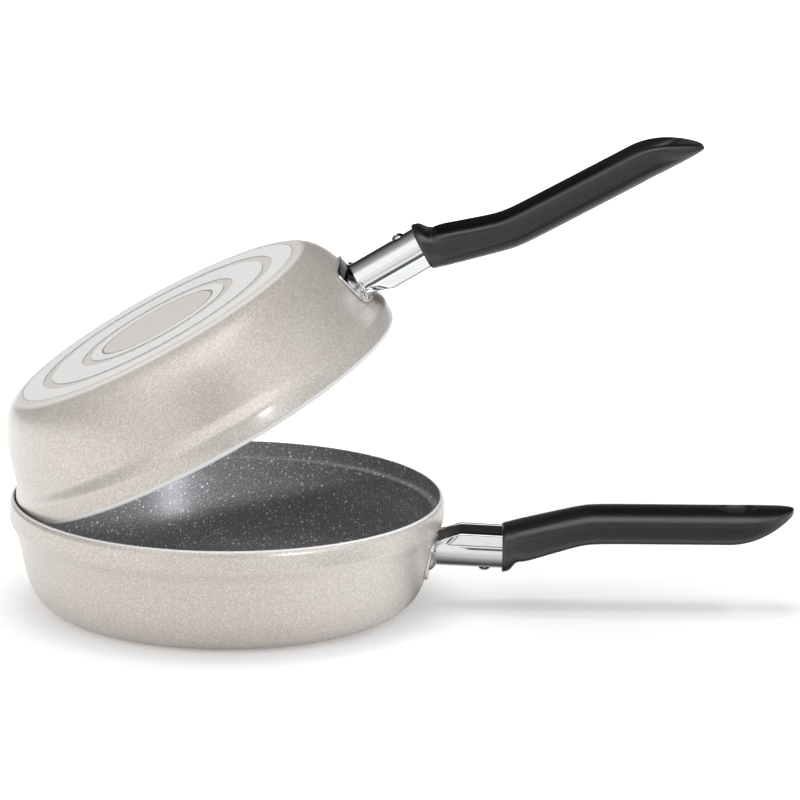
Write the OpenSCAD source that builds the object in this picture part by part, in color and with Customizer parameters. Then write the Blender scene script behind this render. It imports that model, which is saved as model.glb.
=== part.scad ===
// Double sided flip pan: two round frying pans that nest rim to rim.
// The lower pan stands on its base. The upper pan lies upside down in the
// lower pan's collar and is drawn tilted open about the rim far from the
// handles. Both pans carry the same handle: a chromed guard riveted to the
// wall, a hollow moulded grip whose neck lies in the guard, and one screw.
// The origin is the centre of the lower base, +X points along the handles
// and +Z is up. Millimetres and degrees.

/* [Pans] */
// Outer radius of the lower pan's collar
pan_r = 100; // [95:1:115]
// Height of the lower pan, base to rim
pan_h = 51.5; // [49:0.5:70]
// Height of the upper pan, base to rim
lid_h = 50.5; // [49:0.5:70]
// How far the flat base stops short of the collar, in radius
base_inset = 26; // [24:0.5:32]
// Thickness of the wall
wall_t = 2.4; // [1.6:0.1:3]
// Thickness of the base
base_t = 3.4; // [2.4:0.1:5]
// Fullness of the lower pan's corner between base and wall
pan_full = 20; // [14:0.5:22]
// Fullness of the upper pan's corner between base and wall
lid_full = 15.5; // [12:0.5:20]
// Lean of the wall where it meets the collar, from upright
wall_lean = 17; // [12:0.5:20]

/* [Rim] */
// Height of the upright collar, its rounded lip included
collar_h = 9; // [8:0.1:11]
// Wall thickness of the collar
collar_t = 2; // [1.6:0.1:2.6]
// How far the lower pan's collar steps out from its wall
pan_step = 2.9; // [2.4:0.1:4]
// How far the upper pan's collar steps out from its wall
lid_step = 3.8; // [2.4:0.1:4.4]
// Height over which the collar steps out
step_h = 5.5; // [4.5:0.1:7]
// Depth of the inner ledge below the rim
ledge_d = 7.2; // [6.4:0.1:7.6]
// Width of the inner ledge
ledge_w = 3; // [2.4:0.1:3.4]
// Radius of the rounded lip
lip_r = 4; // [3:0.1:5]
// Width of the bare edge on top of the lip
edge_w = 0.6; // [0.3:0.1:1]
// Radial clearance between the upper pan and the lower collar
nest_gap = 1.6; // [1.5:0.1:2.2]

/* [Base rings] */
// Radius of the base's centre, out to the fine groove round it
disc_r = 28; // [20:0.5:32]
// Width of the fine groove round the centre
disc_line = 0.8; // [0.4:0.1:1.4]
// Inner radius of the first turned groove
ring_1_r = 34.5; // [33:0.5:42]
// Inner radius of the second turned groove
ring_2_r = 54.8; // [48:0.5:58]
// Width of a turned groove
ring_w = 4.6; // [2:0.1:5.6]
// Depth of the grooves
ring_d = 0.5; // [0.2:0.1:1]

/* [Opening] */
// Angle that the upper pan is tilted open, as drawn
open_deg = 28.7; // [0:0.1:40]
// Distance of the tilting line inside the collar radius
pivot_inset = 10.4; // [10:0.1:12]
// Depth of the tilting line below the lower rim
pivot_drop = 0.5; // [0:0.1:0.6]
// Height that the closed upper rim stays above the ledge
seat_gap = 0.2; // [0.1:0.05:0.6]

/* [Guard] */
// Outer radius of the guard's round bottom
guard_r = 10.8; // [9:0.1:11.4]
// Thickness of the guard's sheet
guard_t = 1.2; // [0.8:0.1:1.6]
// Height of the guard's upright sides above its axis
guard_side = 6.8; // [5:0.1:7.2]
// Downward tilt of the guard, away from the pan
guard_tilt = 2.5; // [0:0.1:5]
// Depth of the guard's axis below the rim, at the handle's mouth
guard_drop = 23; // [22.4:0.1:24]
// Length of guard held inside the handle's mouth
guard_grip = 3; // [2:0.1:4]
// Distance from the mouth where the sides start to slope down
slope_from = 19.5; // [16:0.5:21]
// Angle of the sloping part of the sides
slope_deg = 20; // [10:1:28]
// Width of the riveted flange
flange_w = 43; // [41:0.5:47]
// Height of the riveted flange
flange_h = 20; // [18.5:0.1:20.8]
// Depth of the flange's upper edge below the rim
flange_drop = 16; // [15.6:0.1:16.6]
// Corner radius of the flange
flange_round = 6; // [3:0.5:8]

/* [Rivets and screw] */
// Radius of a rivet's shank
rivet_r = 2.5; // [2:0.1:3]
// Radius of a rivet's head
rivet_head_r = 4.4; // [3.6:0.1:4.6]
// Height of a rivet's outer head
rivet_head_h = 2.3; // [1.5:0.1:3]
// Height of a rivet's head inside the pan
rivet_inner_h = 1.3; // [0.8:0.1:2]
// Distance from the middle of the guard to each rivet
rivet_y = 16.4; // [16:0.1:16.8]
// Depth of the rivets below the rim
rivet_drop = 26.6; // [25:0.1:28]
// Radius of the screw's shank
screw_r = 1.7; // [1.5:0.1:2]
// Radius of the screw's head
screw_head_r = 3.1; // [2.6:0.1:3.5]
// Height of the screw's head
screw_head_h = 1.7; // [1.2:0.1:2.2]
// Length of the screw's shank
screw_l = 13; // [9:0.5:14]
// Distance from the handle's mouth back to the screw
screw_back = 7.6; // [6:0.1:9]

/* [Handle] */
// Distance from the collar's outside to the handle's mouth
mouth_gap = 27; // [26:0.5:34]
// Length of the handle outside its mouth
handle_l = 134.5; // [126:0.5:160]
// Width of the handle at its mouth
mouth_w = 26; // [25.6:0.2:29]
// Width of the grip
grip_w = 25; // [23:0.2:29]
// Depth of the grip's flat back below the rim
back_drop = 3.9; // [3.8:0.1:5]
// Depth of the grip's open side below the rim
grip_drop = 19.8; // [18:0.1:22]
// Distance from the mouth to the bend
bend_x = 38.5; // [34:0.5:44]
// Rise of the back per millimetre before the bend
back_rise = 0.257; // [0.22:0.001:0.28]
// Rise of the open side per millimetre before the bend
belly_rise = 0.315; // [0.28:0.005:0.36]
// Softness of the bend
bend_soft = 5; // [3:0.5:12]
// Extra depth of the lip under the mouth
mouth_lip = 3.6; // [3:0.1:4.4]
// Length of the scooped tip
scoop_l = 30; // [24:1:36]
// Length over which the tip rounds off in width
tip_round = 21; // [14:1:28]
// Thickness of the moulded walls
shell_t = 2.4; // [2:0.1:3]
// Thickness of the solid floor at the tip
tip_floor = 7; // [5:0.1:8]
// Distance from the mouth to the end of the deep hollow
hollow_end = 90; // [84:1:92]
// Distance from the mouth to the hanging hole
hole_x = 108; // [105:0.5:110]
// Radius of the hanging hole
hole_r = 6.5; // [5:0.1:7]
// Rounding of the hanging hole's upper edge
hole_round = 2.4; // [1:0.1:2.8]

/* [Hidden] */
$fn = 96;

cream = "#cdc2b6";
chrome = "#c9cccf";
black = "#232323";
bright = "#b9b9b6";

eps = 0.01;
over = 1;            // how far cutters reach past what they cut
fit_gap = 0.15;      // gap round pieces that are fixed together
hole_gap = 0.05;     // gap round a shank
seat_flat = 0.05;    // gap under a head or flange on a curved wall
head_seat = 0.2;     // gap behind a rivet's flat inner head on the hollow wall
neck_gap = 1;        // gap between the handle's neck and the flange
wall_pull = 0.3;     // pull on the upper end of the wall's curve
wall_steps = 22;     // straight steps along the wall's curve
arc_steps = 8;       // straight steps along each small curve
round_ledge = 0.9;   // rounding of the ledge's two corners
turn_fn = 144;       // facets round a pan
tip_drop = 0.6;      // droop of the back at the very tip
tip_thick = 2.6;     // thickness of the very tip, the droop included
lip_to = 7;          // distance from the mouth where its lip has faded out
hollow_from = 8;     // distance from the mouth where the hollow starts
skin_n = 32;         // points round the handle's outside
hollow_n = 14;       // steps over the hollow's ceiling

// Each pan's own values, looked up by the names below
R = 0;
H = 1;
FULL = 2;
STEP = 3;
lower = [pan_r, pan_h, pan_full, pan_step];
upper = [pan_r - collar_t - nest_gap, lid_h, lid_full, lid_step];

pivot_x = pivot_inset - pan_r;
pivot_z = pan_h - pivot_drop;
closed_z = pan_h - ledge_d + seat_gap;

// ---- curves ----

// A cubic curve from a to d, pulled towards b and c
function curve(a, b, c, d, t) =
    pow(1 - t, 3) * a + 3 * t * pow(1 - t, 2) * b
    + 3 * t * t * (1 - t) * c + pow(t, 3) * d;

// The direction of that curve
function curve_way(a, b, c, d, t) =
    pow(1 - t, 2) * (b - a) + 2 * t * (1 - t) * (c - b) + t * t * (d - c);

// The unit vector to the right of a direction, which is the outside of a wall
function outward(v) = [v[1], -v[0]] / norm(v);

// Points of an arc about c
function arc(c, r, from, to) =
    [for (i = [0:arc_steps]) let (a = from + (to - from) * i / arc_steps)
        c + r * [cos(a), sin(a)]];

// A signed power, for rounded squares
function spow(v, n) = sign(v) * pow(abs(v), n);

// 0 below a, 1 above b, and smooth between
function ease(x, a, b) =
    let (u = min(max((x - a) / (b - a), 0), 1)) u * u * (3 - 2 * u);

// Distance before the bend, easing softly to 0 past it
function before(x) = let (u = bend_x - x) (u + sqrt(u * u + bend_soft * bend_soft)) / 2;

// ---- pan section ----

// Radius and height where the wall ends and the collar starts to step out
function foot(p) = [p[R] - p[STEP], p[H] - collar_h - step_h];

// The wall's section from the base to the foot of the collar, moved outwards
// along its normal by off
function wall_curve(p, off) =
    let (a = [p[R] - base_inset, 0], b = a + [p[FULL], 0], d = foot(p),
         c = d - (p[H] - collar_h) * wall_pull * [tan(wall_lean), 1])
    [for (i = [0:wall_steps]) let (t = i / wall_steps)
        curve(a, b, c, d, t) + off * outward(curve_way(a, b, c, d, t))];

// Radius of the wall's outside at height z
function wall_r(p, z) = lookup(z, [for (q = wall_curve(p, 0)) [q[1], q[0]]]);

// Lean of the wall at height z
function lean(p, z) = atan((wall_r(p, z + 1) - wall_r(p, z - 1)) / 2);

// The soft step from the wall out to the collar
function step_out(p) =
    let (a = foot(p), d = [p[R], p[H] - collar_h], pull = step_h * 0.35)
    [for (i = [1:arc_steps])
        curve(a, a + pull * [tan(wall_lean), 1], d - [0, pull], d, i / arc_steps)];

// The rounded lip, from the collar's outside up to the bare edge
function lip(p) =
    let (turn = acos(1 - (collar_t - edge_w) / lip_r))
    arc([p[R] - lip_r, p[H] - lip_r * sin(turn)], lip_r, 0, turn);

// The inside, from the bare edge down over the ledge and the wall to the floor
function inside(p) =
    let (in_r = p[R] - collar_t, z = p[H] - ledge_d, edge = in_r - ledge_w,
         wall = [for (q = wall_curve(p, -wall_t)) if (q[1] > base_t) q],
         last = len(wall) - 1)
    concat(
        [[in_r, p[H]]],
        arc([in_r - round_ledge, z + round_ledge], round_ledge, 0, -90),
        arc([edge + round_ledge, z - round_ledge], round_ledge, 90, 180),
        [for (i = [last:-1:0]) wall[i]],
        [[wall[0][0] - (wall[0][1] - base_t), base_t], [0, base_t]]);

function pan_section(p) =
    concat([[0, 0]], wall_curve(p, 0), step_out(p), lip(p), inside(p));

// ---- handle section ----

function back_z(x) = -back_drop - back_rise * before(x);

// How far the underside has risen to the tip, 0 to 1
function scoop(x) = pow(max(x - handle_l + scoop_l, 0) / scoop_l, 1.9);

// Height of the open side, deeper where the lip goes round the guard
function belly_z(x) =
    let (z = -grip_drop - belly_rise * before(x) - mouth_lip * (1 - ease(x, guard_grip, lip_to)))
    z + (back_z(x) - tip_thick - z) * scoop(x);

function half_w(x) =
    let (w = mouth_w / 2 + (grip_w - mouth_w) / 2 * ease(x, 0, bend_x),
         u = max(x - handle_l + tip_round, 0) / tip_round)
    w * sqrt(max(1 - u * u, 0.02));

// Squareness of the section above and below its middle: 2 is round
function square_up(x) = 3.4 - 0.4 * ease(x, 0, bend_x);
function square_down(x) = 2.2 + 3.8 * ease(x, guard_grip, 2 * lip_to);

// One closed ring of the handle's outside
function skin_ring(x) =
    let (top = back_z(x) - tip_drop * ease(x, handle_l - 5, handle_l),
         mid = (top + belly_z(x)) / 2, half = top - mid)
    [for (a = [0:360 / skin_n:359]) let (n = 2 / (a < 180 ? square_up(x) : square_down(x)))
        [x, half_w(x) * spow(cos(a), n), mid + half * spow(sin(a), n)]];

// Height of the hollow's ceiling, which drops to a thick floor at the tip
function ceiling_z(x) =
    back_z(x) - shell_t - (tip_floor - shell_t) * ease(x, hollow_end - 4, hollow_end + 4);

// One closed ring of the hollow, open downwards
function hollow_ring(x) =
    let (w = half_w(x) - shell_t, top = ceiling_z(x),
         spring = min(belly_z(x) + 1, top - 1), low = spring - 4)
    concat(
        [for (a = [0:180 / hollow_n:180])
            [x, w * spow(cos(a), 0.55), spring + (top - spring) * spow(sin(a), 0.55)]],
        [[x, -w, low], [x, w, low]]);

skin_x = concat([0, 1.5, guard_grip, 4.5, 5.5, lip_to], [for (i = [1:14]) lip_to + i * 3],
                [for (i = [1:5]) lip_to + 42 + i * (handle_l - scoop_l - lip_to - 42) / 6],
                [for (i = [0:12]) handle_l - scoop_l * pow(1 - i / 12, 1.3)]);
hollow_x = concat([for (i = [0:10]) hollow_from + i * 4], [58, 72, hollow_end - 4],
                  [for (i = [1:4]) hollow_end - 4 + i * 2],
                  [for (i = [1:5]) hollow_end + 4 + i * (handle_l - 8 - hollow_end) / 5]);

// A solid through a row of rings
module loft(rings) {
    n = len(rings[0]);
    last = len(rings) - 1;
    polyhedron(
        points = [for (ring = rings) each ring],
        faces = concat(
            [[for (i = [0:n - 1]) i]],
            [[for (i = [n - 1:-1:0]) last * n + i]],
            [for (k = [0:last - 1]) for (i = [0:n - 1]) let (j = (i + 1) % n)
                each [[k * n + j, k * n + i, (k + 1) * n + i],
                      [k * n + j, (k + 1) * n + i, (k + 1) * n + j]]]));
}

// ---- places ----

// The handle's frame: x from the mouth, z from the rim
module at_mouth(p) {
    translate([p[R] + mouth_gap, 0, p[H]]) children();
}

// The guard's frame: x along its axis from the mouth, z from its axis
module at_guard(p) {
    at_mouth(p) translate([0, 0, -guard_drop]) rotate([0, guard_tilt, 0]) children();
}

// Both rivets, each square to the wall, with x outwards from the flange
module at_rivets(p) {
    z = p[H] - rivet_drop;
    reach = wall_r(p, z) + seat_flat + guard_t;
    for (side = [-1, 1])
        rotate([0, 0, side * asin(rivet_y / reach)])
            translate([reach, 0, z])
                rotate([0, lean(p, z), 0])
                    children();
}

// The upper pan's place: upside down in the collar, then tilted open
module tilted() {
    translate([pivot_x, 0, pivot_z])
        rotate([0, -open_deg, 0])
            translate([-pivot_x, 0, closed_z + lid_h - pivot_z])
                rotate([180, 0, 0])
                    children();
}

// An outline in the plane across the handle, run along it from a to b
module along_x(a, b) {
    translate([a, 0, 0]) rotate([90, 0, 90]) linear_extrude(b - a) children();
}

// An outline seen from the side, run across the handle
module across_y(w) {
    rotate([90, 0, 0]) linear_extrude(w, center = true) children();
}

// ---- pan ----

module rivet_holes(p) {
    at_rivets(p)
        rotate([0, 90, 0])
            cylinder(r = rivet_r + hole_gap, h = 4 * (wall_t + guard_t), center = true);
}

// A groove of inner radius r and width w under the base
module groove(r, w) {
    translate([0, 0, -over])
        difference() {
            cylinder(r = r + w, h = over + ring_d);
            translate([0, 0, -eps]) cylinder(r = r, h = over + ring_d + 2 * eps);
        }
}

module base_rings() {
    groove(disc_r, disc_line);
    groove(ring_1_r, ring_w);
    groove(ring_2_r, ring_w);
}

module pan(p) {
    difference() {
        rotate_extrude($fn = turn_fn) polygon(pan_section(p));
        base_rings();
        rivet_holes(p);
    }
}

// ---- guard ----

// A round-bottomed trough of outer radius r, open at the top
module trough(r, side) {
    circle(r);
    translate([-r, 0]) square([2 * r, side]);
}

// Everything that the sloping sides leave, seen from the side
module slope_side(low, high) {
    run = 40;
    polygon([
        [guard_grip + over, -low], [guard_grip + over, high], [-slope_from, high],
        [-slope_from - run, high - run * tan(slope_deg)], [-slope_from - run, -low]
    ]);
}

// The solid inside a surface that lies off outside the wall
module wall_core(p, off) {
    line = wall_curve(p, off);
    start = [line[0][0], -over];
    top = line[wall_steps];
    rotate_extrude($fn = turn_fn)
        polygon(concat([[0, -over], start], line, [[top[0], p[H]], [0, p[H]]]));
}

// A rectangle with round corners about the origin
module round_plate(w, h, c) {
    square([w - 2 * c, h], center = true);
    square([w, h - 2 * c], center = true);
    for (x = [-1, 1])
        for (y = [-1, 1])
            translate([x * (w / 2 - c), y * (h / 2 - c)]) circle(c);
}

// The plate that lies on the wall
module flange(p) {
    intersection() {
        difference() {
            wall_core(p, seat_flat + guard_t);
            wall_core(p, seat_flat);
        }
        translate([0, 0, p[H] - flange_drop - flange_h / 2])
            along_x(p[R] / 2, p[R] * 1.5) round_plate(flange_w, flange_h, flange_round);
    }
}

module guard(p) {
    difference() {
        union() {
            flange(p);
            difference() {
                at_guard(p)
                    intersection() {
                        along_x(-2 * mouth_gap, guard_grip)
                            difference() {
                                trough(guard_r, guard_side);
                                trough(guard_r - guard_t, guard_side + over);
                            }
                        across_y(3 * guard_r) slope_side(2 * guard_r, guard_side);
                    }
                wall_core(p, seat_flat + guard_t / 2);
            }
        }
        rivet_holes(p);
        at_guard(p)
            translate([-screw_back, 0, -2 * guard_r])
                cylinder(r = screw_r + fit_gap, h = 2 * guard_r);
    }
}

// ---- rivets and screw ----

// Half of a domed head's section, its flat side on the x axis
module dome(r, h) {
    ball = (r * r + h * h) / (2 * h);
    intersection() {
        translate([0, h - ball]) circle(ball);
        square([r, h]);
    }
}

module rivets(p) {
    back = guard_t + seat_flat + wall_t + head_seat;
    at_rivets(p)
        rotate([0, 90, 0]) {
            translate([0, 0, -back - eps]) cylinder(r = rivet_r, h = back + seat_flat + 2 * eps);
            translate([0, 0, seat_flat]) rotate_extrude() dome(rivet_head_r, rivet_head_h);
            translate([0, 0, -back])
                mirror([0, 0, 1]) rotate_extrude() dome(rivet_head_r, rivet_inner_h);
        }
}

// A domed screw with a cross recess, its head under the guard
module screw(p) {
    slot_w = 0.8;
    slot_l = 3.4;
    at_guard(p)
        translate([-screw_back, 0, -guard_r - seat_flat])
            mirror([0, 0, 1])
                difference() {
                    union() {
                        rotate_extrude() dome(screw_head_r, screw_head_h);
                        translate([0, 0, -screw_l]) cylinder(r = screw_r, h = screw_l + eps);
                    }
                    for (turn = [0, 90])
                        rotate([0, 0, turn])
                            translate([-slot_l / 2, -slot_w / 2, screw_head_h / 2])
                                cube([slot_l, slot_w, screw_head_h]);
                }
}

// ---- handle ----

// The neck that fills the guard and slopes down with its sides
module neck(p) {
    difference() {
        at_guard(p)
            intersection() {
                along_x(-2 * mouth_gap, guard_grip + over)
                    trough(guard_r - guard_t - fit_gap, guard_side);
                across_y(3 * guard_r) slope_side(2 * guard_r, guard_side);
            }
        wall_core(p, seat_flat + guard_t + neck_gap);
    }
}

// The slot in the mouth that takes the end of the guard
module guard_slot() {
    along_x(-over, guard_grip + fit_gap)
        difference() {
            trough(guard_r + fit_gap, guard_side + fit_gap);
            trough(guard_r - guard_t - fit_gap, guard_side + over);
        }
}

// The hanging hole, with a rounded upper edge
module hanging_hole() {
    translate([hole_x, 0, -grip_drop - over]) cylinder(r = hole_r, h = grip_drop);
    translate([hole_x, 0, -back_drop - hole_round])
        rotate_extrude()
            difference() {
                square([hole_r + hole_round, hole_round + over]);
                translate([hole_r + hole_round, 0]) circle(hole_round);
            }
}

module handle(p) {
    difference() {
        union() {
            at_mouth(p) loft([for (x = skin_x) skin_ring(x)]);
            neck(p);
        }
        at_mouth(p) {
            loft([for (x = hollow_x) hollow_ring(x)]);
            hanging_hole();
        }
        at_guard(p) {
            guard_slot();
            translate([-screw_back, 0, -2 * guard_r])
                cylinder(r = screw_r + hole_gap, h = guard_r + screw_l + over);
        }
    }
}

// ---- nodes ----

module lower_pan() { color(cream) pan(lower); }
module lower_guard() { color(chrome) guard(lower); }
module lower_rivets() { color(bright) rivets(lower); }
module lower_handle() { color(black) handle(lower); }
module lower_screw() { color(bright) screw(lower); }
module upper_pan() { color(cream) tilted() pan(upper); }
module upper_guard() { color(chrome) tilted() guard(upper); }
module upper_rivets() { color(bright) tilted() rivets(upper); }
module upper_handle() { color(black) tilted() handle(upper); }
module upper_screw() { color(bright) tilted() screw(upper); }

lower_pan();
lower_guard();
lower_rivets();
lower_handle();
lower_screw();
upper_pan();
upper_guard();
upper_rivets();
upper_handle();
upper_screw();
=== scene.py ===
"""Looks of a double sided flip pan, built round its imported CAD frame.

Metres, in the CAD's own frame: the origin is the centre of the lower base, +X runs along
the handles and +Z is up. Both pans are one design, so each piece is made upright in its
pan's own frame and the upper one is then turned over and tilted open.
"""

import bmesh
import bpy
import numpy as np
from mathutils import Matrix


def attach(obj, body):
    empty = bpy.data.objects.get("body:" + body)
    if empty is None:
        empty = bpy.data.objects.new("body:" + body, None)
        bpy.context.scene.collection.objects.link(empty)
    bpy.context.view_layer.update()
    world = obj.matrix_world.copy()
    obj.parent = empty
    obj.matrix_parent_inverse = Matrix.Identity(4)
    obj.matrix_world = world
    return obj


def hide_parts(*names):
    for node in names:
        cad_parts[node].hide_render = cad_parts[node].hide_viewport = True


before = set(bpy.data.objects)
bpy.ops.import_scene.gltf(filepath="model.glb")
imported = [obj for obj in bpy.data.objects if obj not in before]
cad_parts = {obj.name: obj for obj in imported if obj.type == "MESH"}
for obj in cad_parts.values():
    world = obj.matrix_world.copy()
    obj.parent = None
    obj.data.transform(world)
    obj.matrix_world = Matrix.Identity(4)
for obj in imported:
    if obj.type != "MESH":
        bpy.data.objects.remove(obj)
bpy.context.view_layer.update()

# ---- pans ----------------------------------------------------------------------------
# Two discs of aluminium, pressed to a bowl with an upright collar and then turned. The
# outside is cream paint with a fine sparkle, the inside a dark speckled non-stick coat,
# and the rim's edge and the rings of the base are bare turned metal.

mm = 0.001
collar_h, collar_t = 9 * mm, 2 * mm
step_h = 7 * mm                      # height over which the collar steps out
base_inset = 26 * mm                 # from the collar's radius in to the flat base
wall_t, base_t = 2.4 * mm, 3.4 * mm
ledge_d, ledge_w, ledge_round = 7.2 * mm, 3 * mm, 0.9 * mm
lip_r, edge_w = 4 * mm, 0.6 * mm
nest_gap = 1.6 * mm
disc_r, disc_line = 28 * mm, 0.8 * mm
ring_r, ring_w, ring_d = (34.5 * mm, 54.8 * mm), 4.6 * mm, 0.5 * mm
edge_break, rim_break = 0.12 * mm, 0.15 * mm   # how far the edges of grooves and rim are broken
base_shade_line = 0.5 * mm                 # width of a dark line round the flat base's edge, painted shade of the step there
lean = np.tan(np.radians(17))        # of the wall where it meets the collar

# Radius over the collar, height, fullness of the lower corner, step out to the collar, and
# how far down the lip the metal is bare
LOWER = dict(r=100 * mm, h=51.5 * mm, full=20 * mm, step=3.05 * mm, lip=0.7 * mm)
UPPER = dict(r=LOWER["r"] - collar_t - nest_gap, h=50.5 * mm, full=14.7 * mm, step=3.8 * mm,
             lip=2.1 * mm)

open_angle = np.radians(28.7)
pivot = np.array([-89.6, 51.0]) * mm           # x and z of the tilting line
closed_z = LOWER["h"] - ledge_d + 0.2 * mm     # height of the upper rim when closed


def bezier(a, b, c, d, t):
    """Cubic curve from a to d, pulled to b and c: the four points weighted by (1-t)^3, 3t(1-t)^2,
    3t^2(1-t) and t^3."""
    t = np.asarray(t)[:, None]
    return (1 - t) ** 3 * a + 3 * t * (1 - t) ** 2 * b + 3 * t * t * (1 - t) * c + t ** 3 * d


def wall_line(pan, off, steps=44):
    """Radius and height along the wall, from base to collar: a cubic curve that leaves the base
    flat and ends at the wall's lean, moved by off along its outward normal."""
    a = np.array([pan["r"] - base_inset, 0.0])
    b = a + [pan["full"], 0]
    d = np.array([pan["r"] - pan["step"], pan["h"] - collar_h - step_h])
    c = d - (pan["h"] - collar_h) * 0.3 * np.array([lean, 1])
    t = np.linspace(0, 1, steps)
    way = bezier(a, b, c, d, t + 1e-4) - bezier(a, b, c, d, t - 1e-4)
    normal = np.stack([way[:, 1], -way[:, 0]], 1) / np.linalg.norm(way, axis=1)[:, None]
    return bezier(a, b, c, d, t) + off * normal


def arc(centre, r, start, end, steps):
    """Points of a circle: centre + r (cos, sin), from one angle to the other."""
    a = np.radians(np.linspace(start, end, steps))
    return np.array(centre) + r * np.stack([np.cos(a), np.sin(a)], 1)


PAINT, BARE, COAT, GROOVE_SHADE = 0, 1, 2, 3


def pan_section(pan):
    """Points (radius, height) of the pan's section, from the middle of its base out over the
    grooves, up the outside, over the lip and down the inside to the middle of the floor. The
    second array gives the finish of the band that follows each point."""
    parts, finish = [], []

    def add(points, kind):
        parts.append(np.atleast_2d(np.array(points, float)))
        finish.extend([kind] * len(parts[-1]))

    soft, line = edge_break, disc_r + disc_line
    add([[0, 0]], PAINT)
    # the walls of the grooves and a thin line round the base's edge take a darker finish, painted
    # shade
    add([[disc_r - soft, 0], [disc_r, soft], [disc_r, ring_d]], GROOVE_SHADE)
    add([[line, ring_d], [line, soft]], GROOVE_SHADE)
    add([[line + soft, 0]], BARE)
    for r in ring_r:
        add([[r - soft, 0], [r, soft]], GROOVE_SHADE)
        add([[r, ring_d]], PAINT)
        add([[r + ring_w, ring_d], [r + ring_w, soft]], GROOVE_SHADE)
        add([[r + ring_w + soft, 0]], BARE)
    outside = wall_line(pan, 0)
    add(outside[:1] - [base_shade_line, 0], GROOVE_SHADE)
    add(outside, PAINT)

    # the step out to the collar, and the lip that rounds over to the rim
    foot, top = outside[-1], np.array([pan["r"], pan["h"] - collar_h])
    pull, between = step_h * 0.35, np.linspace(0, 1, 14)[1:-1]
    add(bezier(foot, foot + pull * np.array([lean, 1]), top - [0, pull], top, between), PAINT)
    add(top, PAINT)
    turn = np.degrees(np.arccos(1 - (collar_t - edge_w) / lip_r))
    lip_z = pan["h"] - lip_r * np.sin(np.radians(turn))
    lip = arc([pan["r"] - lip_r, lip_z], lip_r, 0, turn, 14)[1:]
    bright = lip[:, 1] > pan["h"] - pan["lip"]
    add(lip[~bright], PAINT)
    add(lip[bright], BARE)

    # inside: the collar, the ledge that the other pan's rim rests on, the wall and the floor
    inner = pan["r"] - collar_t
    shelf, edge = pan["h"] - ledge_d, inner - ledge_w
    add([[inner + rim_break, pan["h"]], [inner, pan["h"] - rim_break]], COAT)
    add(arc([inner - ledge_round, shelf + ledge_round], ledge_round, 0, -90, 9), COAT)
    add(arc([edge + ledge_round, shelf - ledge_round], ledge_round, 90, 180, 9), COAT)
    wall = wall_line(pan, -wall_t)
    wall = wall[wall[:, 1] > base_t + 0.2 * mm][::-1]
    add(wall, COAT)
    foot_r = wall[-1, 0]
    add([[foot_r - 1.5 * mm, base_t]], COAT)
    add([[foot_r * k, base_t] for k in (0.8, 0.5, 0.2, 0)], COAT)
    return np.concatenate(parts), np.array(finish)


def turned(section, around):
    """The section turned about z, as a grid: x = r cos a, y = r sin a, for equal angles a."""
    a = np.linspace(0, 2 * np.pi, around, endpoint=False)
    return np.stack([section[:, :1] * np.cos(a), section[:, :1] * np.sin(a),
                     np.repeat(section[:, 1:], around, 1)], -1)


def weld(obj):
    """Merges the points that lie in one place."""
    bm = bmesh.new()
    bm.from_mesh(obj.data)
    bmesh.ops.remove_doubles(bm, verts=bm.verts, dist=1e-7)
    bm.to_mesh(obj.data)
    bm.free()


def surface(name, grid, materials, finish=None, wrap=True, place=None, sharp=32):
    """A mesh on a grid of points: each point joins its neighbours along the row and the next row,
    and with wrap the last column joins the first. Points that meet become one, which closes
    poles. The attribute pan_place keeps each point's place in its own upright pan, for the
    materials. Edges that turn by more than sharp, in degrees, stay sharp."""
    rows, cols = grid.shape[:2]
    i, j = np.meshgrid(np.arange(rows - 1), np.arange(cols if wrap else cols - 1), indexing="ij")
    k = (j + 1) % cols
    row, next_row = i * cols, (i + 1) * cols
    faces = np.stack([row + j, row + k, next_row + k, next_row + j], -1).reshape(-1, 4)
    points = grid.reshape(-1, 3)
    placed = place(points) if place else points
    mesh = bpy.data.meshes.new(name)
    mesh.from_pydata(placed.tolist(), [], faces.tolist())
    for m in materials:
        mesh.materials.append(m)
    if finish is not None:
        bands = np.repeat(finish[:rows - 1], i.shape[1]).astype(np.int32)
        mesh.polygons.foreach_set("material_index", bands)
    mesh.attributes.new("pan_place", "FLOAT_VECTOR", "POINT").data.foreach_set(
        "vector", points.astype(np.float32).ravel())
    obj = bpy.data.objects.new(name, mesh)
    bpy.context.scene.collection.objects.link(obj)
    weld(obj)
    mesh.shade_smooth()
    mesh.set_sharp_from_angle(angle=np.radians(sharp))
    return obj


def tilt_open(points):
    """Turns upright points upside down into the lower collar, (x, y, z) to (x, -y, height - z),
    and tilts them about the line through the pivot: x and z turn by the opening angle."""
    x = points[:, 0] - pivot[0]
    z = closed_z + UPPER["h"] - points[:, 2] - pivot[1]
    c, s = np.cos(open_angle), np.sin(open_angle)
    return np.stack([pivot[0] + x * c - z * s, -points[:, 1], pivot[1] + x * s + z * c], 1)


# body, its pan's sizes, and how its upright points are put in place
BOTH = (("lower", LOWER, None), ("upper", UPPER, tilt_open))


def srgb(r, g, b):
    """A colour given as on screen, 0 to 255, as the linear colour that a shader takes."""
    v = np.array([r, g, b]) / 255
    return tuple(np.where(v > 0.04045, ((v + 0.055) / 1.055) ** 2.4, v / 12.92)) + (1.0,)


def material(name, color, metallic, roughness, **others):
    """A material with one Principled shader, whose constants are set on its own sockets."""
    m = bpy.data.materials.new(name)
    m.use_nodes = True
    shader = m.node_tree.nodes["Principled BSDF"]
    constants = {"Base Color": color, "Metallic": metallic, "Roughness": roughness, **others}
    for socket, value in constants.items():
        shader.inputs[socket].default_value = value
    return m, m.node_tree, shader


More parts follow.
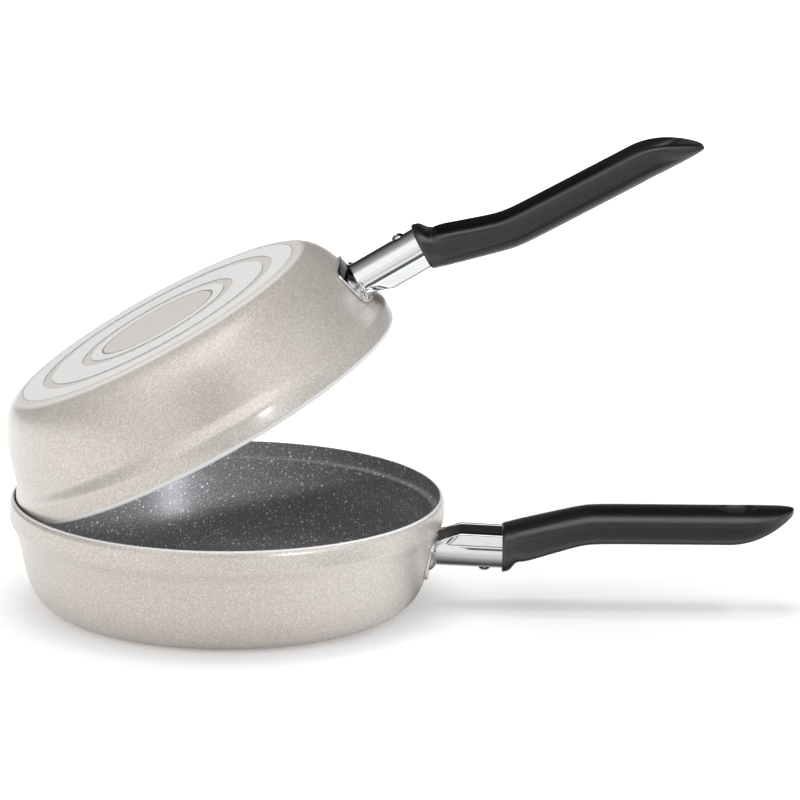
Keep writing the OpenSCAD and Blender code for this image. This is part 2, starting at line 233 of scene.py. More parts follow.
def node(tree, kind, links=None, **settings):
    """Adds a node with the given properties. In links, each socket has an output, which is linked
    to it, or a constant, which is set."""
    made = tree.nodes.new(kind)
    for key, value in settings.items():
        setattr(made, key, value)
    for socket, value in (links or {}).items():
        if isinstance(value, bpy.types.NodeSocket):
            tree.links.new(value, made.inputs[socket])
        else:
            made.inputs[socket].default_value = value
    return made


def reckon(tree, operation, *values):
    """The result of a Math node over outputs or numbers."""
    return node(tree, "ShaderNodeMath", dict(enumerate(values)), operation=operation).outputs[0]


def ramp(tree, value, stops):
    """A colour ramp over value, with stops (position, colour)."""
    made = node(tree, "ShaderNodeValToRGB", {"Fac": value})
    stop = made.color_ramp.elements
    stop[0].position, stop[0].color = stops[0]
    stop[1].position, stop[1].color = stops[-1]
    for position, colour in stops[1:-1]:
        stop.new(position).color = colour
    return made.outputs["Color"]


def group(name, inputs, outputs):
    """An empty shader group with named sockets, and its input and output nodes."""
    tree = bpy.data.node_groups.new(name, "ShaderNodeTree")
    for socket, kind, value in inputs:
        made = tree.interface.new_socket(socket, in_out="INPUT", socket_type="NodeSocket" + kind)
        if value is not None:
            made.default_value = value
    for socket, kind in outputs:
        tree.interface.new_socket(socket, in_out="OUTPUT", socket_type="NodeSocket" + kind)
    return tree, tree.nodes.new("NodeGroupInput").outputs, tree.nodes.new("NodeGroupOutput").inputs


def pan_place(tree):
    """Each point's place in its own upright pan, on which every finish is laid out."""
    return node(tree, "ShaderNodeAttribute", attribute_name="pan_place").outputs["Vector"]


# Small round specks: the distance to scattered points, cut off at a size that differs from
# point to point
specks, take, give = group("scattered specks",
                           [("Place", "Vector", None), ("Points per metre", "Float", 300.0),
                            ("Size", "Float", 0.16)], [("Speck", "Float")])
cells = node(specks, "ShaderNodeTexVoronoi",
             {"Vector": take["Place"], "Scale": take["Points per metre"]}).outputs
part = node(specks, "ShaderNodeSeparateColor", {"Color": cells["Color"]}).outputs[0]
edge = reckon(specks, "SUBTRACT", reckon(specks, "MULTIPLY", part, take["Size"]),
              cells["Distance"])
crisp = node(specks, "ShaderNodeMath", {0: edge, 1: 30.0}, operation="MULTIPLY", use_clamp=True)
specks.links.new(crisp.outputs[0], give["Speck"])


def noise(tree, per_metre, detail=2.0):
    """Soft noise of 0 to 1 laid out on pan_place, with so many grains to the metre."""
    return node(tree, "ShaderNodeTexNoise", {"Vector": pan_place(tree), "Scale": per_metre,
                                             "Detail": detail}).outputs["Fac"]


def raised(tree, shader, height, strength, depth):
    """Bumps on a finish, as deep as depth where the height falls from 1 to 0."""
    bump = node(tree, "ShaderNodeBump",
                {"Strength": strength, "Distance": depth, "Height": height})
    tree.links.new(bump.outputs["Normal"], shader.inputs["Normal"])


def coloured(tree, shader, tone):
    """Gives a finish the colour that its pattern came to."""
    tree.links.new(tone, shader.inputs["Base Color"])


# The cream paint: pale and dark flake of two sizes under a satin clear layer. The paint left
# in the base's rings, the first millimetre of height, holds no flake that shines, and its colour
# is lightened there towards a paler cream as painted light
cream, tree, shader = material("cream sparkle paint", srgb(203, 195, 188), 0.3, 0.4,
                               **{"Coat Weight": 0.8, "Coat Roughness": 0.2, "Coat IOR": 1.7,
                                  "Specular IOR Level": 0.15})
place = pan_place(tree)
flake = node(tree, "ShaderNodeTexVoronoi", {"Vector": place, "Scale": 3000.0})
flake = node(tree, "ShaderNodeSeparateColor", {"Color": flake.outputs["Color"]}).outputs[0]
both = reckon(tree, "ADD", flake, noise(tree, 1100.0, 3.0))
both = reckon(tree, "MULTIPLY", both, 0.5)
tone = ramp(tree, both, [(0.2, srgb(192, 183, 175)), (0.5, srgb(203, 195, 187)),
                         (0.82, srgb(238, 232, 227))])
height = node(tree, "ShaderNodeSeparateXYZ", {0: place}).outputs["Z"]
in_base = {"Value": height, "From Min": 0.6 * mm, "From Max": 1.4 * mm}
shine = node(tree, "ShaderNodeMapRange", {**in_base, "To Min": 0.0, "To Max": 0.3})
tree.links.new(shine.outputs[0], shader.inputs["Metallic"])
# painted light: the base's paint is lightened towards a paler cream
painted_base_light = node(tree, "ShaderNodeMapRange", {**in_base, "To Min": 0.9, "To Max": 0.0})
tone = node(tree, "ShaderNodeMix", {0: painted_base_light.outputs[0], 6: tone, 7: srgb(238, 231, 226)},
            data_type="RGBA").outputs[2]
coloured(tree, shader, tone)
raised(tree, shader, both, 0.12, 0.2 * mm)

# The bare turned metal: fine concentric lines that follow the radius
bare, tree, shader = material("turned aluminium", srgb(230, 230, 228), 0.1, 0.4)
flat = node(tree, "ShaderNodeVectorMath", {0: pan_place(tree), 1: (1.0, 1.0, 0.0)},
            operation="MULTIPLY").outputs[0]
radius = node(tree, "ShaderNodeVectorMath", {0: flat}, operation="LENGTH").outputs["Value"]
lines = node(tree, "ShaderNodeTexNoise", {"W": radius, "Scale": 2600.0, "Detail": 2.0},
             noise_dimensions="1D").outputs["Fac"]
coloured(tree, shader, ramp(tree, lines, [(0.3, srgb(228, 229, 228)), (0.7, srgb(248, 248, 247))]))
raised(tree, shader, lines, 0.25, 0.1 * mm)

# Painted shade on the walls of the rings and on a line round the base's edge, with random grain
groove_shade_paint, tree, shader = material("painted groove shade", srgb(180, 177, 174), 0.2, 0.5)
coloured(tree, shader, ramp(tree, noise(tree, 800.0),
                            [(0.3, srgb(166, 163, 160)), (0.7, srgb(196, 193, 190))]))

# The non-stick coat: dark grey with scattered pale specks of four sizes, the largest of
# which show the most. Each has its points per metre, its size in that grid and how pale it is
coat, tree, shader = material("speckled non-stick coat", srgb(100, 97, 96), 0.0, 0.34)
place, speck = pan_place(tree), 0.0
for per_metre, size, strength in ((330.0, 0.24, 1.0), (560.0, 0.3, 0.85), (900.0, 0.38, 0.5),
                                  (1300.0, 0.46, 0.25)):
    dots = node(tree, "ShaderNodeGroup", {"Place": place, "Points per metre": per_metre,
                                          "Size": size}, node_tree=specks).outputs["Speck"]
    speck = reckon(tree, "MAXIMUM", speck, reckon(tree, "MULTIPLY", dots, strength))
grain = noise(tree, 1400.0)
ground = ramp(tree, grain, [(0.3, srgb(124, 122, 123)), (0.7, srgb(160, 157, 157))])
tone = node(tree, "ShaderNodeMix", {0: speck, 6: ground, 7: (0.95, 0.95, 0.97, 1)},
            data_type="RGBA").outputs[2]
coloured(tree, shader, tone)
raised(tree, shader, grain, 0.15, 0.3 * mm)

for body, pan, put in BOTH:
    section, finish = pan_section(pan)
    shell = surface(body + "_pan_shell", turned(section, 256), [cream, bare, coat, groove_shade_paint], finish,
                    place=put)
    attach(shell, body)
    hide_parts(body + "_pan")

# ---- guards --------------------------------------------------------------------------
# One blank of steel sheet per pan, bent to a round-bottomed trough whose sides slope down
# and flare near the pan, turned out to a flange that follows the wall, and chromed. Two
# rivets hold the flange to the wall.

mouth_gap = 27 * mm                  # from the collar to the handle's mouth
guard_r, guard_t, guard_side = 10.8 * mm, 1.2 * mm, 6.8 * mm
guard_drop, guard_grip, guard_tilt = 23 * mm, 3 * mm, np.radians(2.5)
lean_in = np.radians(8)              # of the trough's sides, past upright
slope_from, slope = 19.5 * mm, np.tan(np.radians(20))
flange_w, flange_h, flange_drop = 43 * mm, 20 * mm, 16 * mm
flange_square = 5                    # power of its outline: 2 is an ellipse, more is squarer
flange_ends = 128.7, 411.3           # degrees round it where the sheet's two sides come out
flange_bend = 1.6 * mm               # from the trough to the flange, at the sheet's middle
flare_r = 34 * mm                    # of the sides near the pan
flare_lag = 5.5 * mm                 # how much nearer the pan the foot of a side starts to flare
seat_flat = 0.05 * mm                # between the flange and the wall, and under each head


def from_guard(pan, x, y, z):
    """Points of the guard's frame, x along its axis from the mouth and z from the axis, in the
    pan's frame: turned down by the tilt and moved to the mouth."""
    c, s = np.cos(guard_tilt), np.sin(guard_tilt)
    return np.stack([pan["r"] + mouth_gap + x * c + z * s, y,
                     pan["h"] - guard_drop - x * s + z * c], -1)


def wall_x(pan, off, y, z):
    """How far out a surface that lies off outside the wall is, at y and height z."""
    line = wall_line(pan, off)
    r = np.interp(z, line[:, 1], line[:, 0])
    return np.sqrt(r * r - y * y)


def side_top(x):
    """Height of the trough's side above its axis: full by the mouth, and falling along a slope
    near the pan."""
    return guard_side - np.maximum(-slope_from - x, 0) * slope


def guard_sheet(pan):
    """The middle of the sheet as a grid. Columns run round the trough, down one side, round the
    bottom and up the other; rows run from the mouth along the trough, round a small bend and
    out over the wall to a rounded rectangle."""
    mid, off = guard_r - guard_t / 2, seat_flat + guard_t / 2
    side, turn = np.linspace(1, 0, 9)[:-1], np.pi / 2 + lean_in
    share = np.concatenate([side, np.zeros(49), side[::-1]])          # height along the side
    angle = np.concatenate([np.full(8, -turn), np.linspace(-turn, turn, 49), np.full(8, turn)])
    sign = np.sign(angle)

    def ring(x):
        """One row round the trough at x: a little more than half a circle, then straight sides
        along its tangents, which lean out near the pan by the square of the way past the start
        of the flare."""
        rise = (side_top(x) - mid * np.sin(lean_in)) * share
        near = np.maximum(-slope_from - flare_lag * (1 - share) - x, 0)
        lean_out = near ** 2 / (2 * flare_r) * np.minimum(share * 3, 1)
        y = mid * np.sin(angle) + sign * (lean_out - rise * np.tan(lean_in))
        return y, rise - mid * np.cos(angle)

    def to_wall(x):
        """How far each point of the row at x is from the flange's middle on the wall."""
        y, z = ring(x)
        p = from_guard(pan, x, y, z)
        return p[:, 0] - wall_x(pan, off, p[:, 1], p[:, 2])

    # the trough: each column ends at its own x, found by stepping towards the wall
    end = np.full(len(angle), -30 * mm)
    for _ in range(12):
        end = end - (to_wall(end) - flange_bend)
    rows = []
    for t in np.linspace(0, 1, 40):
        x = guard_grip + (end - guard_grip) * t
        y, z = ring(x)
        rows.append(from_guard(pan, x, y, z))

    # the flange's outline: |2y/w| and |2z/h|, each to the power, add up to 1
    way = np.radians(np.linspace(*flange_ends, len(angle)))
    c, s = np.cos(way), np.sin(way)
    far = (np.abs(c * 2 / flange_w) ** flange_square
           + np.abs(s * 2 / flange_h) ** flange_square) ** (-1 / flange_square)
    out = np.stack([far * c, pan["h"] - flange_drop - flange_h / 2 + far * s], 1)

    # the bend, a quarter circle from the trough outwards, and the flange along the wall
    root = rows[-1][:, 1:]
    run = out - root
    length = np.linalg.norm(run, axis=1)[:, None]
    for a in np.radians(np.linspace(0, 90, 9)[1:]):
        yz = root + run / length * flange_bend * (1 - np.cos(a))
        x = wall_x(pan, off, yz[:, 0], yz[:, 1]) + flange_bend * (1 - np.sin(a))
        rows.append(np.column_stack([x, yz]))
    start = rows[-1][:, 1:]
    for t in np.linspace(0, 1, 9)[1:]:
        yz = start + (out - start) * t
        rows.append(np.column_stack([wall_x(pan, off, yz[:, 0], yz[:, 1]), yz]))
    return np.array(rows)


# Faint swirls of the polishing wheel, in the gloss and in the surface
chrome, tree, shader = material("polished chrome", srgb(226, 228, 230), 1.0, 0.09)
swirl = noise(tree, 120.0, 3.0)
gloss = ramp(tree, swirl, [(0.3, (0.045, 0.045, 0.045, 1)), (0.75, (0.09, 0.09, 0.09, 1))])
tree.links.new(gloss, shader.inputs["Roughness"])
raised(tree, shader, swirl, 0.012, 1 * mm)

for body, pan, put in BOTH:
    sheet = surface(body + "_guard_sheet", guard_sheet(pan), [chrome], wrap=False, place=put,
                    sharp=50)
    thick = sheet.modifiers.new("thickness", "SOLIDIFY")
    thick.thickness, thick.offset = guard_t, 0
    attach(sheet, body)
    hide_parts(body + "_guard")

# ---- rivets --------------------------------------------------------------------------
# Two aluminium rivets per pan, closed cold through the flange and the wall: a high domed
# head outside and a flatter one inside the pan.

rivet_r, rivet_head_r, rivet_head_h, rivet_inner_h = 2.5 * mm, 4.4 * mm, 2.3 * mm, 1.3 * mm
rivet_y, rivet_drop = 16.4 * mm, 26.6 * mm


def dome(r, h, steps=14):
    """Half section of a domed head from its rim to its top: a circle through both, whose radius
    is (r squared + h squared) / 2h."""
    ball = (r * r + h * h) / (2 * h)
    a = np.linspace(np.arcsin(min(r / ball, 1)), 0, steps)
    return np.stack([ball * np.sin(a), ball * np.cos(a) + h - ball], 1)


def at_rivet(pan, side):
    """Where a rivet stands: its foot on the flange and the three directions of its frame, of
    which the last points out of the wall."""
    line = wall_line(pan, 0)
    z = pan["h"] - rivet_drop
    reach = np.interp(z, line[:, 1], line[:, 0]) + seat_flat + guard_t
    turn = side * np.arcsin(rivet_y / reach)
    below, above = np.interp([z - mm, z + mm], line[:, 1], line[:, 0])
    down = np.arctan((above - below) / (2 * mm))
    out = np.array([np.cos(turn) * np.cos(down), np.sin(turn) * np.cos(down), -np.sin(down)])
    across = np.array([-np.sin(turn), np.cos(turn), 0])
    foot = np.array([np.cos(turn) * reach, np.sin(turn) * reach, z])
    return foot, across, np.cross(out, across), out


def rivet(pan, side):
    """One rivet turned about its own axis: outer dome, shank and inner dome, closed at both
    poles."""
    back = guard_t + seat_flat + wall_t + 0.2 * mm
    outer = dome(rivet_head_r, rivet_head_h)[::-1] + [0, seat_flat]
    inner = dome(rivet_head_r, rivet_inner_h) * [1, -1] - [0, back]
    section = np.concatenate([outer, [[rivet_r, seat_flat], [rivet_r, -back]], inner])[::-1]
    foot, u, v, w = at_rivet(pan, side)
    g = turned(section, 48)
    return foot + g[..., :1] * u + g[..., 1:2] * v + g[..., 2:] * w


satin, tree, shader = material("satin aluminium", srgb(196, 196, 194), 1.0, 0.28)
raised(tree, shader, noise(tree, 900.0), 0.1, 0.2 * mm)

for body, pan, put in BOTH:
    for side, word in ((-1, "near"), (1, "far")):
        one = surface(body + "_rivet_" + word, rivet(pan, side), [satin], place=put, sharp=40)
        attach(one, body)
        if side == -1:
            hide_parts(body + "_rivets")

# ---- handles -------------------------------------------------------------------------
# A grip moulded in black heat-proof plastic: a hollow shell open on its outer side, bent
# once, with a lip round the guard's end, a scooped tip and a hanging hole with flared
# edges. Its neck lies in the guard's trough and takes the screw.

handle_l, mouth_w, grip_w = 134.5 * mm, 26 * mm, 25 * mm
back_drop, grip_drop = 3.9 * mm, 19.8 * mm
bend_x, bend_soft, back_rise, belly_rise = 38.5 * mm, 5 * mm, 0.257, 0.315
mouth_lip, lip_to, scoop_l, tip_round = 3.6 * mm, 7 * mm, 30 * mm, 21 * mm
shell_t, tip_floor, hollow_from, hollow_end = 2.4 * mm, 7 * mm, 8 * mm, 90 * mm
tip_thick, tip_drop = 2.6 * mm, 0.1 * mm
hole_x, hole_r, hole_round = 108 * mm, 6.5 * mm, 3.2 * mm
neck_from, neck_to, neck_gap = 2 * mm, -34 * mm, 0.15 * mm   # along the guard, and its play there


def ease(x, a, b):
    """0 below a, 1 above b, and smooth between."""
    u = np.clip((x - a) / (b - a), 0, 1)
    return u * u * (3 - 2 * u)


def back_z(x):
    """Height of the back below the rim: level past the bend, and falling towards the pan before
    it."""
    u = bend_x - x
    return -back_drop - back_rise * (u + np.sqrt(u * u + bend_soft ** 2)) / 2


def belly_z(x):
    """Height of the open side: level past the bend and falling before it like the back, deeper
    at the mouth's lip, and rising to the tip."""
    u = bend_x - x
    z = -grip_drop - belly_rise * (u + np.sqrt(u * u + bend_soft ** 2)) / 2
    z = z - mouth_lip * (1 - ease(x, guard_grip, lip_to))
    scoop = (np.maximum(x - handle_l + scoop_l, 0) / scoop_l) ** 1.9
    return z + (back_z(x) - tip_thick - z) * scoop


def half_width(x):
    """Half the grip's width: a little more at the mouth, and an ellipse's end at the tip."""
    u = np.maximum(x - handle_l + tip_round, 0) / tip_round
    full = (mouth_w + (grip_w - mouth_w) * ease(x, 0, bend_x)) / 2
    return full * np.sqrt(np.maximum(1 - u * u, 0.02))


def power(v, n):
    """The size of v raised to n, with the sign of v."""
    return np.sign(v) * np.abs(v) ** n


def grip_skin(pan):
    """The grip as a grid of closed rings along x. Outside, a ring is a rounded square: y = w cos a
    and z = h sin a with both raised to 2/n. Underneath it turns in at the wall's thickness and
    follows the hollow, an arch of the same kind whose depth fades in past the mouth and out at
    the tip."""
    # places of the rings, closest at the ends, the lip, the hollow's start and the hole, and how
    # far each shrinks to its middle, which closes both ends and rounds their edges
    x = np.concatenate([[0, 0, 0.25, 0.8, 1.5, 3, 4, 5, 6, 7, 7.6, 7.9, 8.1, 8.4, 9, 10],
                        np.arange(12, 84, 1.5), np.arange(84, 104.5, 0.75),
                        np.arange(105, 126, 1), np.arange(126, 132, 0.6),
                        [132.4, 133, 133.5, 133.9, 134.2, 134.4, 134.5, 134.5]]) * mm
    inset = np.concatenate([[1.0, 0.045, 0.02, 0.004], np.zeros(len(x) - 12),
                            [0, 0, 0.01, 0.04, 0.1, 0.25, 0.5, 1.0]])[:, None]
    top = back_z(x) - tip_drop * ease(x, handle_l - 5 * mm, handle_l)
    belly, w = belly_z(x), half_width(x)
    mid, half = (top + belly) / 2, (top - belly) / 2
    up = 3.2 - 0.7 * ease(x, 0, bend_x)                        # n in the upper half
    down = 2.2 + 3.8 * ease(x, guard_grip, 2 * lip_to)         # n in the lower half
    inner = np.maximum(w - shell_t, 0.55 * w)
    low = np.arccos(np.clip(inner / w, 0, 1) ** (down / 2))    # where the outside turns in

    # depth of the hollow, which leaves the back's thickness and a thicker floor at the tip
    floor = (tip_floor - shell_t) * ease(x, hollow_end - 4 * mm, hollow_end + 4 * mm)
    deep = back_z(x) - shell_t - floor - belly
    deep = np.maximum(deep, 0) * ease(x, hollow_from - 0.4 * mm, hollow_from + 0.4 * mm)
    deep = deep * (1 - ease(x, handle_l - 14 * mm, handle_l - 5 * mm))
    w, mid, half, up, down, inner, low, deep = (
        v[:, None] for v in (w, mid, half, up, down, inner, low, deep))

    # outside, from the near lower edge over the back to the far lower edge
    a = np.radians(90) + np.linspace(-1, 1, 81) * (np.radians(90) + low)
    n = 2 / np.where(np.sin(a) >= 0, up, down)
    y = w * power(np.cos(a), n)
    z = mid + half * power(np.sin(a), n)

    # inside, from the far edge back to the near one
    b = np.radians(np.linspace(180, 0, 35))[1:-1]
    yi = inner * power(np.cos(b), 0.55)
    flat = mid - half * np.maximum(1 - np.abs(yi / w) ** down, 0) ** (1 / down)
    zi = flat + deep * np.sin(b) ** 0.55

    y, z = np.concatenate([y, yi], 1), np.concatenate([z, zi], 1)
    y = y * (1 - inset)
    z = z + (mid - z) * inset
    g = np.stack([np.repeat(x[:, None], y.shape[1], 1), y, z], -1)
    return g + [pan["r"] + mouth_gap, 0, pan["h"]]


def neck_block(pan):
    """The neck as a grid of closed rings across the guard's axis: the trough's inside, closed by
    a flat top that slopes down with the guard's sides, from the mouth to just short of the
    flange. The first and the last ring are points, which close the ends."""
    r = guard_r - guard_t - neck_gap
    foot = r * np.sin(lean_in)
    a = np.linspace(np.pi - lean_in, 2 * np.pi + lean_in, 37)
    places = np.concatenate([[neck_from], np.linspace(neck_from, -slope_from, 12),
                             np.linspace(-slope_from, neck_to, 12)[1:], [neck_to]])
    rows = []
    for x in places:
        h = side_top(x)
        up = np.linspace(foot, max(h - 0.5 * mm, foot + 0.05 * mm), 5)
        w = r * np.cos(lean_in) - (up - foot) * np.tan(lean_in)
        lid = np.linspace(w[-1], -w[-1], 13)[1:-1]
        y = np.concatenate([r * np.cos(a), w[1:], lid, -w[:0:-1]])
        z = np.concatenate([r * np.sin(a), up[1:], np.full(len(lid), h), up[:0:-1]])
        rows.append([np.full(len(y), x), y, z])
    rows = np.array(rows)
    rows[[0, -1], 1:] = 0
    return from_guard(pan, rows[:, 0], rows[:, 1], rows[:, 2])


def drill(name, pan, put):
    """The hanging hole's cutter, turned about the vertical: a cylinder that flares out at the
    back along a quarter circle, and reaches out of the grip above and below."""
    below, above, wide = -40 * mm, 5 * mm, hole_r + hole_round
    flare = arc([wide, -back_drop - hole_round], hole_round, 180, 90, 12)
    section = np.concatenate([[[0, below], [hole_r, below]], flare, [[wide, above], [0, above]]])
    centre = [pan["r"] + mouth_gap + hole_x, 0, pan["h"]]
    return surface(name, turned(section, 64) + centre, [], place=put)


# Smooth black with the fine grain of the mould
black, tree, shader = material("satin black plastic", srgb(23, 23, 24), 0.0, 0.3,
                               **{"Specular IOR Level": 1.0})
raised(tree, shader, noise(tree, 1500.0, 3.0), 0.55, 0.2 * mm)

for body, pan, put in BOTH:
    grip = surface(body + "_grip", grip_skin(pan), [black], place=put, sharp=38)
    cutter = drill(body + "_drill", pan, put)
    cut = grip.modifiers.new("hanging hole", "BOOLEAN")
    cut.object, cut.operation, cut.solver = cutter, "DIFFERENCE", "EXACT"
    shown = bpy.context.evaluated_depsgraph_get()
    drilled = bpy.data.meshes.new_from_object(grip.evaluated_get(shown))
    grip.modifiers.clear()
    grip.data = drilled
    bpy.data.objects.remove(cutter)
    drilled.shade_smooth()
    drilled.set_sharp_from_angle(angle=np.radians(38))
    neck = surface(body + "_neck", neck_block(pan), [black], place=put, sharp=30)
    for piece in (grip, neck):
        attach(piece, body)
    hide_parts(body + "_handle")

# ---- screws --------------------------------------------------------------------------
# One plated screw under each guard holds the grip's neck: a low domed head with a cross
# recess, turned in from outside the trough.

screw_r, screw_head_r, screw_head_h = 1.7 * mm, 3.1 * mm, 1.7 * mm
screw_l, screw_back = 13 * mm, 7.6 * mm
cross_depth, cross_floor = 0.8 * mm, 0.4 * mm    # of the recess, and the height it stays above


def screw_grid(pan):
    """A screw turned about its axis. Near the middle of the head the surface sinks inside a
    cross, two bars at right angles about 0.85 mm wide and 3.4 mm long with soft edges."""
    head = dome(screw_head_r, screw_head_h, 30)[::-1]
    section = np.concatenate([head, [[screw_r, 0], [screw_r, -screw_l], [0, -screw_l]]])[::-1]
    g = turned(section, 96)
    x, y = np.abs(g[..., 0]), np.abs(g[..., 1])

    def bar(across, along):
        """1 inside a bar, given the distances from its middle, and 0 outside."""
        return ease(-across, -0.5 * mm, -0.35 * mm) * ease(-along, -1.8 * mm, -1.6 * mm)

    sunk = np.maximum(bar(x, y), bar(y, x)) * (g[..., 2] > cross_floor)
    g[..., 2] -= sunk * cross_depth
    return from_guard(pan, -screw_back + g[..., 0], -g[..., 1], -guard_r - seat_flat - g[..., 2])


plated, tree, shader = material("bright plated steel", srgb(214, 214, 214), 1.0, 0.16)
raised(tree, shader, noise(tree, 1200.0), 0.08, 0.2 * mm)

for body, pan, put in BOTH:
    screw = surface(body + "_screw_head", screw_grid(pan), [plated], place=put, sharp=40)
    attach(screw, body)
    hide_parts(body + "_screw")

# ---- studio --------------------------------------------------------------------------
# A white table that runs out of sight in a white surround, lit softly from above and from
# the front left. Polished and painted surfaces see the room as a photographer sets it for
# them: white boards low in front, at the sides and overhead in front, and dark cloth behind.

# The table glows white far from the pans, where the picture shows it without a shadow, and
# half as much in reflections; near them it keeps more of their shadow
white, tree, shader = material("white table", (0.9, 0.9, 0.9, 1), 0.0, 0.9)
seen = node(tree, "ShaderNodeLightPath").outputs
half = reckon(tree, "MULTIPLY", seen["Is Glossy Ray"], 0.5)
shown = reckon(tree, "MAXIMUM", seen["Is Camera Ray"], half)
shown = reckon(tree, "MAXIMUM", shown, seen["Is Transmission Ray"])
spread = node(tree, "ShaderNodeMapping", {
    "Vector": node(tree, "ShaderNodeTexCoord").outputs["Object"], "Location": (-0.1, 0.0, 0.0)})
away = node(tree, "ShaderNodeVectorMath", {0: spread.outputs[0]}, operation="LENGTH")
far = node(tree, "ShaderNodeMapRange", {
    "Value": away.outputs["Value"], "From Min": 0.22, "From Max": 0.5, "To Min": 0.24,
    "To Max": 1.0}, interpolation_type="SMOOTHSTEP")
glow = node(tree, "ShaderNodeEmission", {
    "Color": (1, 1, 1, 1), "Strength": reckon(tree, "MULTIPLY", far.outputs[0], shown)})
lit = node(tree, "ShaderNodeAddShader", {0: shader.outputs[0], 1: glow.outputs[0]})
tree.links.new(lit.outputs[0], tree.nodes["Material Output"].inputs["Surface"])


def laid(name, rectangles, z, finish):
    """A flat object of rectangles (x from, x to, y from, y to), all at height z."""
    corners = [(x, y, z) for x0, x1, y0, y1 in rectangles
               for x, y in ((x0, y0), (x1, y0), (x1, y1), (x0, y1))]
    mesh = bpy.data.meshes.new(name)
    mesh.from_pydata(corners, [], np.arange(len(corners)).reshape(-1, 4).tolist())
    mesh.materials.append(finish)
    obj = bpy.data.objects.new(name, mesh)
    bpy.context.scene.collection.objects.link(obj)
    return obj


table_z = -0.2 * mm                  # just under the pans' base
table = laid("table", [(-6, 6, -6, 6)], table_z, white)

# Black card on the table, which only mirrors see and which gives chrome and grips their dark
# lines: in front of the lower handle, further off for the upper one, and under the handles,
# where it fades from dark below their middle to pale, a painted shadow of the handles
card, tree, shader = material("black card", (0.01, 0.01, 0.01, 1), 0.0, 0.9)
place = node(tree, "ShaderNodeTexCoord").outputs["Object"]
y = node(tree, "ShaderNodeSeparateXYZ", {0: place}).outputs["Y"]
off = node(tree, "ShaderNodeMath", {0: y}, operation="ABSOLUTE").outputs[0]
# painted shadow: dark under the middle of the handles and paler to the sides, seen only in
# reflections
painted_handle_shadow = node(tree, "ShaderNodeMapRange", {"Value": off, "From Min": 0.0, "From Max": 0.026})
near = reckon(tree, "LESS_THAN", off, 0.05)          # the card under the handles, no other
tone = ramp(tree, reckon(tree, "MULTIPLY", painted_handle_shadow.outputs[0], near),
            [(0.0, (0.12, 0.12, 0.12, 1)), (1.0, (0.9, 0.9, 0.9, 1))])
coloured(tree, shader, tone)
cloth = laid("card", [(0.112, 0.17, -0.22, -0.09), (0.17, 0.4, -0.8, -0.085),
                      (-0.3, 0.4, -2.0, -0.8), (-0.3, 0.17, -0.8, -0.5),
                      (0.085, 0.29, -0.04, 0.04)], -table_z, card)
cloth.visible_camera = cloth.visible_diffuse = False
cloth.visible_shadow = cloth.visible_transmission = False


def heading(azimuth, elevation):
    """The unit vector towards a part of the room, in degrees: azimuth 0 is the front, 90 the
    right."""
    a, e = np.radians(azimuth), np.radians(elevation)
    return np.array([np.sin(a) * np.cos(e), -np.cos(a) * np.cos(e), np.sin(e)])


# Brightness of the room at six heights, in degrees, at these directions round it, from
# behind by the left and the front to behind again
stops = [-180, -130, -90, -60, -35, -18, -6, 6, 18, 30, 42, 60, 85, 120, 150, 180]
room = {3: [0.3, 0.2, 0.2, 0.4, 0.6, 1.0, 1.0, 1.0, 0.6, 0.2, 0.15, 0.1, 0.15, 0.2, 0.3, 0.3],
        11: [0.05, 0.1, 0.1, 0.35, 0.7, 1.0, 0.1, 0.05, 0.1, 0.4, 0.5, 0.4, 0.35, 0.25, 0.15, 0.05],
        18: [0.0, 0.05, 0.1, 0.3, 0.9, 1.0, 0.1, 0.0, 0.3, 1.0, 1.0, 0.6, 0.5, 0.25, 0.1, 0.0],
        32: [0.0, 0.1, 0.3, 0.7, 1.2, 1.0, 0.2, 0.1, 0.6, 1.5, 1.5, 1.2, 0.8, 0.05, 0.0, 0.0],
        46: [0.0, 0.2, 0.5, 1.2, 1.3, 1.3, 1.5, 1.6, 1.5, 1.2, 1.0, 0.9, 0.6, 0.0, 0.0, 0.0],
        65: [0.0, 0.1, 0.3, 0.9, 1.5, 2.2, 2.4, 2.4, 1.8, 0.9, 0.6, 0.4, 0.2, 0.05, 0.0, 0.0]}

world = bpy.data.worlds.new("white surround")
bpy.context.scene.world = world
world.use_nodes = True
tree = world.node_tree
seen = node(tree, "ShaderNodeLightPath").outputs
view = node(tree, "ShaderNodeTexCoord").outputs["Generated"]
look = node(tree, "ShaderNodeSeparateXYZ", {"Vector": view}).outputs
turn = reckon(tree, "ARCTAN2", look["X"], reckon(tree, "MULTIPLY", look["Y"], -1.0))
turn = reckon(tree, "MULTIPLY_ADD", turn, 1 / (2 * np.pi), 0.5)
rise = node(tree, "ShaderNodeMath", {0: look["Z"]}, operation="ARCSINE").outputs[0]

# mirrors see the boards: a ring of light at each height, mixed with the next one up. A ramp
# holds colours up to 1, so each ring is stored at half its brightness and doubled after
boards, below = None, None
for height, levels in room.items():
    ring = ramp(tree, turn, [((a + 180) / 360, (v / 2, v / 2, v / 2, 1))
                             for a, v in zip(stops, levels)])
    if boards:
        part = node(tree, "ShaderNodeMapRange", {
            "Value": rise, "From Min": np.radians(below), "From Max": np.radians(height)})
        ring = node(tree, "ShaderNodeMix", {"Factor": part.outputs[0], 2: boards, 3: ring})
        ring = ring.outputs[0]
    boards, below = ring, height
boards = reckon(tree, "MULTIPLY", boards, 2.0)

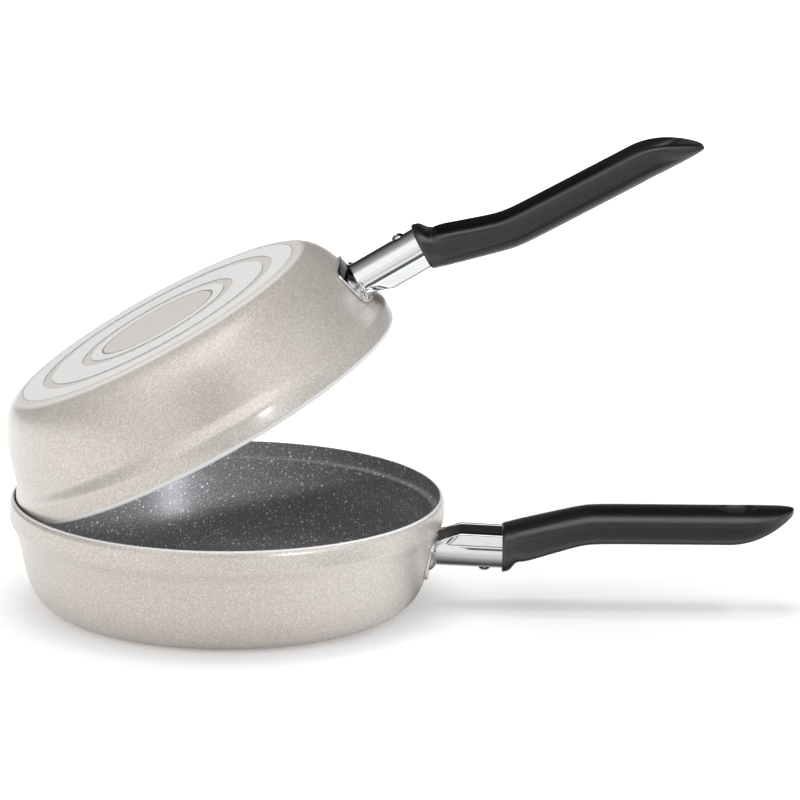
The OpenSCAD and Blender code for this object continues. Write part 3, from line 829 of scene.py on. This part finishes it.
# matt surfaces see a soft grey that is a little lighter from below, and the camera sees white
low_z = node(tree, "ShaderNodeVectorMath", {0: view, 1: (0.0, 0.0, -0.1)}, operation="DOT_PRODUCT")
soft = reckon(tree, "ADD", low_z.outputs["Value"], 0.7)
mirrors = reckon(tree, "MAXIMUM", seen["Is Glossy Ray"], seen["Is Transmission Ray"])
level = node(tree, "ShaderNodeMix", {"Factor": mirrors, 2: soft, 3: boards})
level = node(tree, "ShaderNodeMix", {"Factor": seen["Is Camera Ray"], 2: level.outputs[0], 3: 1.0})
tree.links.new(level.outputs[0], tree.nodes["Background"].inputs["Strength"])
tree.nodes["Background"].inputs["Color"].default_value = (1, 1, 1, 1)


def turn_to(obj, side, up, back, place):
    """Puts obj at place, with its own X, Y and Z along side, up and back."""
    rows = [[side[i], up[i], back[i], place[i]] for i in range(3)]
    obj.matrix_world = Matrix(rows + [[0, 0, 0, 1]])


def aim(obj, place, target):
    """Puts obj at place with its -Z towards the target and its X level, or square to y when it
    looks nearly straight down."""
    back = np.array(place, float) - target
    back /= np.linalg.norm(back)
    side = np.cross([0, 1.0, 0] if abs(back[2]) > 0.99 else [0, 0, 1.0], back)
    side /= np.linalg.norm(side)
    turn_to(obj, side, np.cross(back, side), back, place)


for name, place, size, power_w in (("lamp_left", (-1.1, -1.1, 0.8), 0.9, 5.4),
                                   ("lamp_top", (0.0, 0.1, 1.4), 0.7, 7.5)):
    lamp = bpy.data.lights.new(name, "AREA")
    lamp.size, lamp.energy = size, power_w
    obj = bpy.data.objects.new(name, lamp)
    obj.visible_glossy = False
    bpy.context.scene.collection.objects.link(obj)
    aim(obj, place, np.array([0.03, 0, 0.06]))

# A small lamp low at the front right shines under the upper pan into the lower one
spot = bpy.data.lights.new("lamp_into_opening", "SPOT")
spot.energy, spot.shadow_soft_size, spot.spot_size, spot.spot_blend = 86, 0.06, np.radians(4.9), 1.0
spot.color = (0.92, 0.95, 1.0)
obj = bpy.data.objects.new("lamp_into_opening", spot)
bpy.context.scene.collection.objects.link(obj)
inside = np.array((-0.023, 0.089, 0.031))
aim(obj, inside + heading(34, 10.5) * 1.5, inside)

# The photo's camera: a long lens, a little above the pans and rolled by half a degree
camera = bpy.data.cameras.new("camera")
camera.lens, camera.sensor_width, camera.clip_end = 225, 36, 50
eye = bpy.data.objects.new("camera", camera)
bpy.context.scene.collection.objects.link(eye)
eye_place = (0.07922, -2.22772, 0.64858)
elevation, roll = np.radians(13.91), np.radians(0.57)
ahead = np.array([0, np.cos(elevation), -np.sin(elevation)])
level_x, level_up = np.array([1.0, 0, 0]), np.array([0, np.sin(elevation), np.cos(elevation)])
right = np.cos(roll) * level_x + np.sin(roll) * level_up
up = -np.sin(roll) * level_x + np.cos(roll) * level_up
turn_to(eye, right, up, -ahead, eye_place)
bpy.context.scene.camera = eye
bpy.context.scene.view_settings.view_transform = "Standard"
